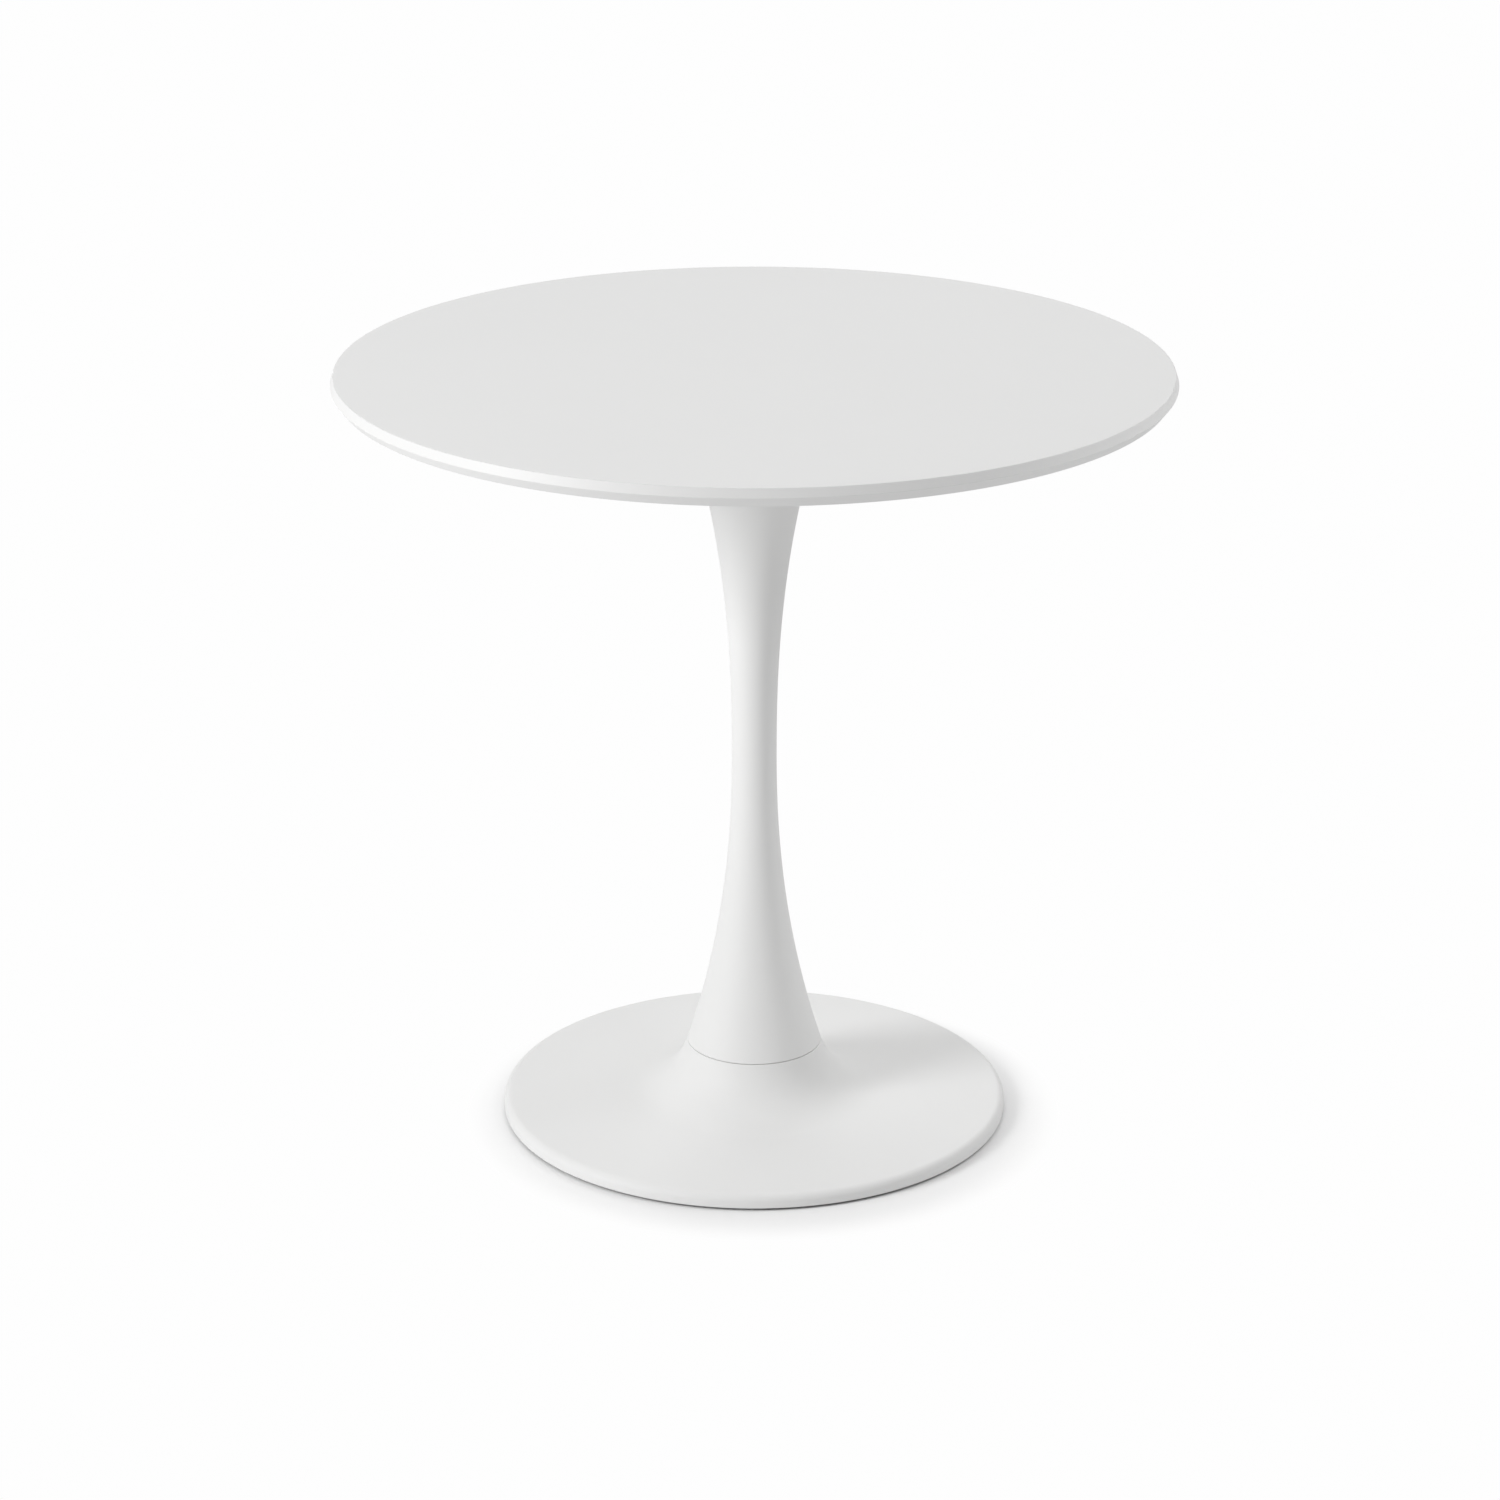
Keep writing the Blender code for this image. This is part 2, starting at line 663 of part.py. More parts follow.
def glide_bush_mesh():
    """Flanged threaded bush pressed into the ballast plate from above."""
    bore = STUD_RADIUS + STUD_CLEARANCE
    flange_bottom = BALLAST_TOP + GAP
    flange_top = flange_bottom + BUSH_FLANGE_THICKNESS
    rings = [
        Ring(BUSH_RADIUS, BALLAST_BOTTOM + GAP),
        Ring(BUSH_RADIUS, flange_bottom),
        Ring(BUSH_FLANGE_RADIUS, flange_bottom),
        Ring(BUSH_FLANGE_RADIUS, flange_top),
        Ring(bore, flange_top),
        Ring(bore, BALLAST_BOTTOM + GAP),
    ]
    return loft_mesh("glide_bush", rings, SMALL_SEGMENTS, hollow=True)


def glide_stud_mesh():
    """Threaded stud; its flat head turns inside the pad and has a hex socket in its underside."""
    socket_half_flats = 0.0020
    socket_top = 0.0045
    chamfer = 0.0006
    rings = [
        Ring(socket_half_flats, socket_top, 6),
        Ring(socket_half_flats, STUD_HEAD_BOTTOM, 6),
        Ring(STUD_HEAD_RADIUS, STUD_HEAD_BOTTOM),
        Ring(STUD_HEAD_RADIUS, STUD_HEAD_TOP),
        Ring(STUD_RADIUS, STUD_HEAD_TOP),
        Ring(STUD_RADIUS, STUD_TOP - chamfer),
        Ring(STUD_RADIUS - chamfer, STUD_TOP),
    ]
    return loft_mesh("glide_stud", rings, SCREW_SEGMENTS)


def glide_pad_mesh():
    """Nylon pad with a pocket that holds the stud's head and a hole below for the key."""
    pocket = STUD_HEAD_RADIUS + STUD_CLEARANCE
    neck = STUD_RADIUS + 2 * GAP
    rings = [
        Ring(PAD_ACCESS_RADIUS, 0),
        Ring(PAD_RADIUS - PAD_CHAMFER, 0),
        Ring(PAD_RADIUS, PAD_CHAMFER),
        Ring(PAD_RADIUS, PAD_TOP),
        Ring(neck, PAD_TOP),
        Ring(neck, STUD_HEAD_TOP + GAP),
        Ring(pocket, STUD_HEAD_TOP + GAP),
        Ring(pocket, STUD_HEAD_BOTTOM - GAP),
        Ring(PAD_ACCESS_RADIUS, STUD_HEAD_BOTTOM - GAP),
    ]
    return loft_mesh("glide_pad", rings, SMALL_SEGMENTS, hollow=True)


def glides(bush_material, stud_material, pad_material):
    """Four glides, each bush, stud and pad on the glide's own vertical axis."""
    bush = glide_bush_mesh()
    stud = glide_stud_mesh()
    pad = glide_pad_mesh()
    for number, spot in enumerate(glide_spots(), start=1):
        axis = bpy.data.objects.new(f"glide_axis_{number}", None)
        axis.location = spot
        bpy.context.scene.collection.objects.link(axis)
        add_object(f"glide_bush_{number}", bush, bush_material, parent=axis)
        add_object(f"glide_stud_{number}", stud, stud_material, parent=axis)
        add_object(f"glide_pad_{number}", pad, pad_material, parent=axis)


# Assembly -------------------------------------------------------------------------------------


def clear_scene():
    for obj in list(bpy.data.objects):
        bpy.data.objects.remove(obj, do_unlink=True)


def build_table():
    clear_scene()
    steel = zinc_steel()
    coat = white_powder_coat()
    dark = black_steel()
    table_top(white_lacquer())
    top_inserts(turned_brass())
    mounting_plate(dark)
    plate_screws(steel)
    locating_ring(dark)
    column_shell(coat)
    foot_ring(dark)
    tie_rod(steel)
    washer_top = rod_washer(steel)
    lock_washer_top = rod_lock_washer(steel, washer_top + GAP)
    hex_nut("rod_nut", steel, lock_washer_top + GAP, NUT_HEIGHT)
    base_cover(coat)
    support_tube(dark)
    hub_top = hub_block(steel)
    hex_nut("rod_jam_nut", steel, hub_top + GAP, JAM_NUT_HEIGHT)
    base_plate(dark)
    hub_screws(steel)
    rim_gasket(black_rubber())
    glides(steel, steel, grey_nylon())


build_table()
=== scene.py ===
"""Looks of the round pedestal table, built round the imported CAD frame.

Units are metres, +Z is up, and the origin is on the floor under the column. Every CAD node is
replaced by a finer piece in the same place: turned shapes with edge roundings, threads, hex
sockets and drilled holes, in seven procedural materials.
"""

import math

import bmesh
import bpy
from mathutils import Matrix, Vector


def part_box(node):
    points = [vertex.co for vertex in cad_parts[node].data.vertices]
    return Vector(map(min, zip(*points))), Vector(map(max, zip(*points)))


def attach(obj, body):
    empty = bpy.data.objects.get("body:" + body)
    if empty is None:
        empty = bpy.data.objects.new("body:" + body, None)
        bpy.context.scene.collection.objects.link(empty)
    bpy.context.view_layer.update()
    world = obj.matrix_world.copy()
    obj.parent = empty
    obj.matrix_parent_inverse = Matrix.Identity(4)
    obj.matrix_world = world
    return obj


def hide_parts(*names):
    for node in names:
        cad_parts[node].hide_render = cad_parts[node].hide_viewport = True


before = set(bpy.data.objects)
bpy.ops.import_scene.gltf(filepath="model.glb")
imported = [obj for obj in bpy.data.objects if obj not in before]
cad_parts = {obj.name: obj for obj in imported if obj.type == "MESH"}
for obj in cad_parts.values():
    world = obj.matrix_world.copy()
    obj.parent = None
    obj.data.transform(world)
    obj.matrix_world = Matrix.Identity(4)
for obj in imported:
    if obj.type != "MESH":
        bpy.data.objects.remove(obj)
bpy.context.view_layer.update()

# Facets round a full turn
BOARD_SEGMENTS = 224
BASE_SEGMENTS = 192
COLUMN_SEGMENTS = 128
RING_SEGMENTS = 96
THREAD_SEGMENTS = 36
FILLET_STEPS = 5
SMOOTH_ANGLE_DEG = 40.0

# Meshes
POLE_RADIUS = 1e-6
FLAT_CORNER_DEG = 89.9
TOOL_TURN = 0.037
TOOL_OVERRUN = 0.01
HOLE_CLEARANCE = 0.0003
LOOK_SUFFIX = "_look"

# Table top
BOARD_BEVEL_WIDTH = 0.0075
BOARD_BEVEL_HEIGHT = 0.0095
BOARD_DRAFT = 0.003
BOARD_SOFTENING = 0.001
BOARD_FLAT_RINGS = 14
INSERT_HOLE_POINT = 0.0012
PLATE_THICKNESS = 0.005
WELL_WALL_RADIUS = 0.0295
WELL_FLOOR_RADIUS = 0.0255
WELL_MOUTH_RADIUS = 0.0335
PLATE_HOLE_RADIUS = 0.0034
LOCATING_RING_INNER_RADIUS = 0.0565

# Column
WAIST_RADIUS = 0.0218
WAIST_HEIGHT = 0.375
FOOT_RADIUS = 0.0665
MOUTH_RADIUS = 0.0752
LOWER_FLARE_POWER = 2.2
UPPER_FLARE_POWER = 2.35
COLUMN_WALL = 0.0025
MOUTH_FLANGE_INNER_RADIUS = 0.0615
MOUTH_EDGE_HEIGHT = 0.003
FOOT_RING_INNER_RADIUS = 0.050
FOOT_RING_CLEARANCE = 0.0006
SUPPORT_TUBE_INNER_RADIUS = 0.0590
COLUMN_RINGS = 110
SEAM_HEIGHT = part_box("column_shell")[0].z - 0.00025
UNDERSIDE_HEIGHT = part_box("table_top")[0].z

# Base cover
COVER_WALL = 0.002
RIM_CORNER = 0.007
RIM_TOP = 0.0155
DISC_SLOPE = 0.05
COLLAR_FOOT_RADIUS = 0.128
COLLAR_TOP_SLOPE = 0.35
COLLAR_TOP_PULL = 0.026
COLLAR_FOOT_PULL = 0.038
SPIGOT_TOP_RADIUS = 0.0600
SPIGOT_ROOT_RADIUS = 0.0622
LEDGE_DROP = 0.00825
GASKET_INNER_RADIUS = 0.2410
BALLAST_EDGE = 0.0012
COUNTERSINK_RADIUS = 0.0084
COUNTERSINK_SHANK_RADIUS = 0.0046
COUNTERSINK_LIP = 0.0004
BUSH_HOLE_RADIUS = 0.0068
COLLAR_RINGS = 48
DISC_RINGS = 16

# Threads: (outer radius, depth, pitch)
M6 = (0.0030, 0.0006, 0.00100)
M8 = (0.0040, 0.0007, 0.00125)
M12 = (0.0060, 0.0010, 0.00175)
THREAD_CLEARANCE = 0.00012
ROWS_PER_PITCH = 6

THREAD_MOUTH = 0.0010
ROD_THREAD_LENGTH = 0.060
ROD_HOLE_RADIUS = 0.0065

# Studio
FLOOR_HALF = 12.0
FLOOR_COLOUR = (0.89, 0.89, 0.89)
FLOOR_GLOW = 0.99
FLOOR_BOUNCE = 0.775
FLOOR_FADE_START = 0.243
FLOOR_FADE_END = 0.296
FLOOR_FADE_CENTRE = (0.010, -0.020, 0.0)
FLOOR_OPENING = 0.232
SKY_FILL = 0.293
LIGHT_DISTANCE = 3.0
LIGHT_AIM_HEIGHT = 0.4
CAMERA_SIDE = -0.0042
CAMERA_DISTANCE = 3.9971
CAMERA_HEIGHT = 1.8386
CAMERA_TILT_DEG = 20.109
CAMERA_LENS = 104.82
CAMERA_SENSOR = 36.0


# Outlines -------------------------------------------------------------------------------------


def evenly(start, end, steps):
    return [start + (end - start) * step / steps for step in range(steps + 1)]


def fillet(before, corner, after, radius, steps=FILLET_STEPS):
    """Points of the arc that rounds a corner between two straight runs."""
    towards = (before - corner).normalized()
    away = (after - corner).normalized()
    half_angle = towards.angle(away) / 2
    if radius <= 0 or half_angle > math.radians(FLAT_CORNER_DEG):
        return [corner]
    reach = radius / math.tan(half_angle)
    start = corner + towards * reach
    centre = corner + (towards + away).normalized() * (radius / math.sin(half_angle))
    first = start - centre
    sweep = math.pi - 2 * half_angle
    turning = -1 if towards.x * away.y - towards.y * away.x > 0 else 1
    arc = []
    for angle in evenly(0, sweep * turning, steps):
        cosine = math.cos(angle)
        sine = math.sin(angle)
        spoke = Vector((first.x * cosine - first.y * sine, first.x * sine + first.y * cosine))
        arc.append(centre + spoke)
    return arc


def outline(corners, closed=True):
    """Profile points through (radius, height, rounding) corners."""
    spots = [Vector(corner[:2]) for corner in corners]
    points = []
    for index, corner in enumerate(corners):
        inner = 0 < index < len(corners) - 1
        if corner[2] > 0 and (closed or inner):
            before = spots[index - 1]
            after = spots[(index + 1) % len(spots)]
            points += fillet(before, spots[index], after, corner[2])
        else:
            points.append(spots[index])
    return [(point.x, point.y) for point in points]


# Meshes ---------------------------------------------------------------------------------------


def circle_row(bm, radius, height, segments):
    """One ring of vertices; radius is a number or a function of the angle."""
    if not callable(radius) and radius < POLE_RADIUS:
        return [bm.verts.new((0, 0, height))]
    row = []
    for step in range(segments):
        angle = 2 * math.pi * step / segments
        reach = radius(angle) if callable(radius) else radius
        row.append(bm.verts.new((reach * math.cos(angle), reach * math.sin(angle), height)))
    return row


def join_rows(bm, low, high, segments):
    for step in range(segments):
        after = (step + 1) % segments
        if len(low) == 1:
            bm.faces.new((low[0], high[after], high[step]))
        elif len(high) == 1:
            bm.faces.new((low[step], low[after], high[0]))
        else:
            bm.faces.new((low[step], low[after], high[after], high[step]))


def turned(name, points, segments, closed=True):
    """A profile of (radius, height) points turned about Z. Closed profiles make a ring."""
    bm = bmesh.new()
    rows = [circle_row(bm, radius, height, segments) for radius, height in points]
    for low, high in zip(rows, rows[1:]):
        join_rows(bm, low, high, segments)
    if closed:
        join_rows(bm, rows[-1], rows[0], segments)
    return finish_mesh(name, bm)


def finish_mesh(name, bm):
    bmesh.ops.recalc_face_normals(bm, faces=bm.faces)
    mesh = bpy.data.meshes.new(name)
    bm.to_mesh(mesh)
    bm.free()
    smooth(mesh)
    return mesh


def smooth(mesh):
    mesh.shade_smooth()
    mesh.set_sharp_from_angle(angle=math.radians(SMOOTH_ANGLE_DEG))


def polygon(half_flats, sides=6):
    """Radius of a regular polygon as a function of the angle."""
    half_side = math.pi / sides

    def radius(angle):
        return half_flats / math.cos(angle % (2 * half_side) - half_side)

    return radius


def thread(size, height, extra=0.0):
    """Radius of a right-hand thread at a height, as a function of the angle."""
    outer, depth, pitch = size

    def radius(angle):
        turn = (height / pitch - angle / (2 * math.pi)) % 1
        return outer + extra - depth * abs(2 * turn - 1)

    return radius


def thread_rows(size, start, end, extra=0.0):
    """Rows of a helical thread between two heights, in either direction."""
    steps = max(2, round(abs(end - start) / size[2] * ROWS_PER_PITCH))
    return [(thread(size, height, extra), height) for height in evenly(start, end, steps)]


def cut(name, mesh, cutter, spots):
    """The mesh with the cutter's shape taken out of it at each spot."""
    body = bpy.data.objects.new(name, mesh)
    bpy.context.scene.collection.objects.link(body)
    tools = []
    for spot in spots:
        tool = bpy.data.objects.new("tool", cutter)
        tool.location = spot
        tool.rotation_euler.z = TOOL_TURN
        bpy.context.scene.collection.objects.link(tool)
        bite = body.modifiers.new("bite", "BOOLEAN")
        bite.operation = "DIFFERENCE"
        bite.solver = "EXACT"
        bite.object = tool
        tools.append(tool)
    bpy.context.view_layer.update()
    depsgraph = bpy.context.evaluated_depsgraph_get()
    result = bpy.data.meshes.new_from_object(body.evaluated_get(depsgraph))
    for used in [body, *tools]:
        bpy.data.objects.remove(used)
    smooth(result)
    return result


# Materials ------------------------------------------------------------------------------------


def add_node(material, kind, values=None, **settings):
    node = material.node_tree.nodes.new(kind)
    for name, value in settings.items():
        setattr(node, name, value)
    for socket, value in (values or {}).items():
        node.inputs[socket].default_value = value
    return node


def link(material, source, output, target, socket):
    material.node_tree.links.new(source.outputs[output], target.inputs[socket])


def noise(material, place, scale, detail=2.0):
    node = add_node(material, "ShaderNodeTexNoise", {"Scale": scale, "Detail": detail})
    link(material, place, "Object", node, "Vector")
    return node


def spread(material, source, output, low, high):
    """Map an output that runs from 0 to 1 onto a range of values."""
    node = add_node(material, "ShaderNodeMapRange", {"To Min": low, "To Max": high})
    link(material, source, output, node, "Value")
    return node


def surface(name, colour, shade, roughness, rough_swing, metallic=0.0, tone_scale=6.0):
    """Principled material whose tone and roughness drift gently over the surface."""
    material = bpy.data.materials.new(name + LOOK_SUFFIX)
    material.use_nodes = True
    shader = material.node_tree.nodes["Principled BSDF"]
    shader.inputs["Metallic"].default_value = metallic
    place = add_node(material, "ShaderNodeTexCoord")
    drift = noise(material, place, tone_scale, 4.0)
    tone = add_node(material, "ShaderNodeMix", data_type="RGBA")
    tone.inputs["A"].default_value = (*shade, 1.0)
    tone.inputs["B"].default_value = (*colour, 1.0)
    link(material, drift, "Fac", tone, "Factor")
    material.node_tree.links.new(tone.outputs["Result"], shader.inputs["Base Color"])
    patches = noise(material, place, tone_scale * 3.0, 3.0)
    gloss = spread(material, patches, "Fac", roughness - rough_swing, roughness + rough_swing)
    link(material, gloss, "Result", shader, "Roughness")
    return material, shader, place


def bump(material, shader, heights, strength, distance):
    """Bump from one or more (texture node, output) pairs, chained."""
    below = None
    for texture, output in heights:
        node = add_node(
            material, "ShaderNodeBump", {"Strength": strength, "Distance": distance}
        )
        link(material, texture, output, node, "Height")
        if below:
            link(material, below, "Normal", node, "Normal")
        below = node
    link(material, below, "Normal", shader, "Normal")


def rings_of(material, place, scale):
    """Fine concentric tool marks about the piece's own axis."""
    waves = add_node(
        material,
        "ShaderNodeTexWave",
        {"Scale": scale, "Distortion": 0.6, "Detail": 2.0},
        wave_type="RINGS",
        rings_direction="Z",
    )
    link(material, place, "Object", waves, "Vector")
    return waves


def white_lacquer():
    """Sprayed satin lacquer on board: very fine orange peel."""
    material, shader, place = surface(
        "white_lacquer", (0.758, 0.758, 0.754), (0.745, 0.745, 0.741), 0.52, 0.03
    )
    shader.inputs["Specular IOR Level"].default_value = 0.45
    peel = noise(material, place, 420.0, 2.0)
    bump(material, shader, [(peel, "Fac")], 0.05, 0.0003)
    return material


def white_powder_coat():
    """Satin powder coat on metal: a slightly coarser peel than the lacquer."""
    material, shader, place = surface(
        "white_powder_coat", (0.805, 0.805, 0.80), (0.79, 0.79, 0.785), 0.60, 0.04
    )
    shader.inputs["Specular IOR Level"].default_value = 0.40
    peel = noise(material, place, 300.0, 2.0)
    fine = noise(material, place, 1400.0, 1.0)
    bump(material, shader, [(peel, "Fac"), (fine, "Fac")], 0.05, 0.0003)
    return material


def zinc_steel():
    material, shader, place = surface(
        "zinc_steel", (0.62, 0.62, 0.63), (0.50, 0.50, 0.54), 0.34, 0.08, 1.0, 60.0
    )
    marks = rings_of(material, place, 260.0)
    grain = noise(material, place, 900.0, 3.0)
    bump(material, shader, [(marks, "Fac"), (grain, "Fac")], 0.15, 0.0001)
    return material


def black_steel():
    material, shader, place = surface(
        "black_steel", (0.050, 0.050, 0.054), (0.034, 0.034, 0.037), 0.52, 0.07, 0.0, 18.0
    )
    shader.inputs["Coat Weight"].default_value = 0.15
    shader.inputs["Coat Roughness"].default_value = 0.40
    grain = noise(material, place, 700.0, 3.0)
    bump(material, shader, [(grain, "Fac")], 0.20, 0.0002)
    return material


def turned_brass():
    material, shader, place = surface(
        "turned_brass", (0.80, 0.62, 0.30), (0.66, 0.49, 0.21), 0.30, 0.08, 1.0, 80.0
    )
    marks = rings_of(material, place, 300.0)
    bump(material, shader, [(marks, "Fac")], 0.20, 0.0001)
    return material


def grey_nylon():
    material, shader, place = surface(
        "grey_nylon", (0.24, 0.24, 0.25), (0.19, 0.19, 0.20), 0.55, 0.06, 0.0, 30.0
    )
    grain = noise(material, place, 1100.0, 2.0)
    bump(material, shader, [(grain, "Fac")], 0.15, 0.0002)
    return material


def black_rubber():
    material, shader, place = surface(
        "black_rubber", (0.035, 0.035, 0.035), (0.022, 0.022, 0.022), 0.78, 0.08, 0.0, 40.0
    )
    grain = noise(material, place, 800.0, 4.0)
    bump(material, shader, [(grain, "Fac")], 0.35, 0.0003)
    return material


# Placing pieces -------------------------------------------------------------------------------


def drill_shape(name, low, high, radius, point=0.0):
    """Round cutter between two heights, with an optional pointed upper end."""
    profile = [(0, low), (radius, low), (radius, high), (0, high + point)]
    return turned(name, profile, THREAD_SEGMENTS, closed=False)


def place_piece(name, mesh, node, material, body="table", spot=(0, 0, 0)):
    """Put a mesh in the scene as the piece that stands for one CAD node."""
    if not mesh.materials:
        mesh.materials.append(material)
    piece = bpy.data.objects.new(name, mesh)
    piece.location = spot
    bpy.context.scene.collection.objects.link(piece)
    even = piece.modifiers.new("even_shading", "WEIGHTED_NORMAL")
    even.keep_sharp = True
    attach(piece, body)
    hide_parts(node)
    return piece


def axis_of(node):
    """Where a CAD node's upright axis meets the floor."""
    low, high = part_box(node)
    return Vector(((low.x + high.x) / 2, (low.y + high.y) / 2, 0))


def numbered(stem):
    """The names of a repeated CAD node."""
    return sorted(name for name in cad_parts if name.startswith(stem + "_"))


# Table top ------------------------------------------------------------------------------------


def board(material):
    """Round lacquered board: drawn-in edge over a bevel, softened corners, blind holes."""
    low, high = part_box("table_top")
    flat = high.x - BOARD_BEVEL_WIDTH
    underside = [(flat * step / BOARD_FLAT_RINGS, low.z) for step in range(BOARD_FLAT_RINGS)]
    edge = outline(
        [
            (0, low.z, 0),
            (flat, low.z, BOARD_SOFTENING),
            (high.x, low.z + BOARD_BEVEL_HEIGHT, BOARD_SOFTENING),
            (high.x - BOARD_DRAFT, high.z, BOARD_SOFTENING),
            (0, high.z, 0),
        ],
        closed=False,
    )
    inner = high.x - 3 * BOARD_DRAFT
    face = [
        (inner * step / BOARD_FLAT_RINGS, high.z) for step in range(BOARD_FLAT_RINGS, 0, -1)
    ]
    points = underside + edge[1:-1] + face + edge[-1:]
    mesh = turned("board", points, BOARD_SEGMENTS, closed=False)
    insert_low, insert_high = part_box("top_insert_1")
    radius = (insert_high.x - insert_low.x) / 2 + HOLE_CLEARANCE
    top = insert_high.z + HOLE_CLEARANCE
    point = INSERT_HOLE_POINT - HOLE_CLEARANCE
    hole = drill_shape("insert_hole", low.z - TOOL_OVERRUN, top, radius, point)
    spots = [axis_of(name) for name in numbered("top_insert")]
    place_piece("board", cut("board", mesh, hole, spots), "table_top", material)


def inserts(material):
    """Barbed brass inserts with M6 threads."""
    low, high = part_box("top_insert_1")
    outer = (high.x - low.x) / 2
    barb_depth = 0.0006
    barbs = 6
    points = [(outer, low.z), (outer, low.z + 0.0012)]
    for height in evenly(low.z + 0.0016, high.z - 0.0016, barbs):
        points.append((outer - barb_depth, height))
        points.append((outer, height + 0.0011))
    points.append((outer - barb_depth, high.z))
    points += thread_rows(M6, high.z, low.z, THREAD_CLEARANCE)
    mesh = turned("insert", points, THREAD_SEGMENTS)
    for name in numbered("top_insert"):
        place_piece(name.replace("top_", "brass_"), mesh, name, material, spot=axis_of(name))


# Mounting plate -------------------------------------------------------------------------------


def top_plate(material):
    """Pressed plate with a deep well for the rod's nuts and plain holes for its screws."""
    low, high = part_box("mounting_plate")
    well_floor = low.z + PLATE_THICKNESS
    flange = high.z - PLATE_THICKNESS
    points = outline(
        [
            (ROD_HOLE_RADIUS, low.z, 0.0004),
            (WELL_WALL_RADIUS, low.z, 0.0020),
            (WELL_MOUTH_RADIUS, flange, 0.0015),
            (high.x, flange, 0.0012),
            (high.x, high.z, 0.0008),
            (WELL_WALL_RADIUS, high.z, 0.0030),
            (WELL_FLOOR_RADIUS, well_floor, 0.0012),
            (ROD_HOLE_RADIUS, well_floor, 0.0004),
        ]
    )
    mesh = turned("top_plate", points, RING_SEGMENTS)
    hole = drill_shape("plate_hole", low.z, high.z + TOOL_OVERRUN, PLATE_HOLE_RADIUS)
    spots = [axis_of(name) for name in numbered("plate_screw")]
    place_piece("top_plate", cut("top_plate", mesh, hole, spots), "mounting_plate", material)


def button_screws(material):
    """M6 button-head screws, heads down, with hex sockets."""
    low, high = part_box("plate_screw_1")
    head = (high.x - low.x) / 2
    seat = low.z + 0.0033
    socket = polygon(0.0020)
    socket_end = low.z + 0.0021
    points = [(0, socket_end), (socket, socket_end), (socket, low.z + 0.0002), (0.0026, low.z)]
    crown = 0.0030
    for angle in evenly(0, math.pi / 2, 8):
        radius = crown + (head - crown) * math.sin(angle)
        points.append((radius, seat - 0.0003 - crown * math.cos(angle)))
    points += [(head, seat - 0.0001), (head - 0.0001, seat), (M6[0], seat)]
    points += thread_rows(M6, seat + 0.0002, high.z - 0.0006)
    points += [(0.0022, high.z), (0, high.z)]
    mesh = turned("button_screw", points, THREAD_SEGMENTS, closed=False)
    for name in numbered("plate_screw"):
        new_name = name.replace("plate_screw", "button_screw")
        place_piece(new_name, mesh, name, material, spot=axis_of(name))


def plain_ring(name, node, inner, rounding, material, segments=RING_SEGMENTS):
    """Turned ring of rectangular section that fills a CAD node's height."""
    low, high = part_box(node)
    points = outline(
        [
            (inner, low.z, rounding),
            (high.x, low.z, rounding),
            (high.x, high.z, rounding),
            (inner, high.z, rounding),
        ]
    )
    place_piece(name, turned(name, points, segments), node, material)


# Column ---------------------------------------------------------------------------------------


def column_radius(height):
    """Outer radius of the column: a power of the distance from its waist, above and below."""
    if height < WAIST_HEIGHT:
        part = (WAIST_HEIGHT - height) / (WAIST_HEIGHT - SEAM_HEIGHT)
        return WAIST_RADIUS + (FOOT_RADIUS - WAIST_RADIUS) * part**LOWER_FLARE_POWER
    part = (height - WAIST_HEIGHT) / (UNDERSIDE_HEIGHT - WAIST_HEIGHT)
    return WAIST_RADIUS + (MOUTH_RADIUS - WAIST_RADIUS) * part**UPPER_FLARE_POWER


def wall_inside(height):
    """Inner radius of the column, one wall inside the outer surface."""
    step = 0.001
    slope = (column_radius(height + step) - column_radius(height - step)) / (2 * step)
    return column_radius(height) - COLUMN_WALL * math.hypot(1, slope)


def column(material):
    """Flared tube with a rounded lower edge and an inward flange at its mouth."""
    low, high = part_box("column_shell")
    edge = 0.0005
    flange_bottom = high.z - COLUMN_WALL
    mouth_start = high.z - MOUTH_EDGE_HEIGHT
    outer = [(column_radius(z), z) for z in evenly(low.z + 2 * edge, mouth_start, COLUMN_RINGS)]
    mouth = outline(
        [
            (column_radius(mouth_start), mouth_start, 0),
            (column_radius(high.z), high.z, 0.0012),
            (MOUTH_FLANGE_INNER_RADIUS, high.z, 0.0006),
            (MOUTH_FLANGE_INNER_RADIUS, flange_bottom, 0.0006),
            (wall_inside(flange_bottom), flange_bottom, 0.0012),
            (wall_inside(flange_bottom - 0.004), flange_bottom - 0.004, 0),
        ],
        closed=False,
    )
    inner = [
        (wall_inside(z), z)
        for z in evenly(flange_bottom - 0.006, low.z + 2 * edge, COLUMN_RINGS // 3)
    ]
    foot = outline(
        [
            inner[-1] + (0,),
            (wall_inside(low.z), low.z, edge),
            (column_radius(low.z), low.z, edge),
            outer[0] + (0,),
        ],
        closed=False,
    )
    points = outer + mouth[1:] + inner + foot[1:-1]
    place_piece("column", turned("column", points, COLUMN_SEGMENTS), "column_shell", material)


def inner_foot_ring(material):
    """Tapered ring inside the column's foot."""
    low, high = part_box("foot_ring")
    top_radius = wall_inside(high.z) - FOOT_RING_CLEARANCE
    points = outline(
        [
            (FOOT_RING_INNER_RADIUS, low.z, 0.0006),
            (high.x, low.z, 0.0004),
            (top_radius, high.z, 0.0004),
            (FOOT_RING_INNER_RADIUS, high.z, 0.0006),
        ]
    )
    mesh = turned("inner_foot_ring", points, RING_SEGMENTS)
    place_piece("inner_foot_ring", mesh, "foot_ring", material)


# Tie rod and its hardware ---------------------------------------------------------------------


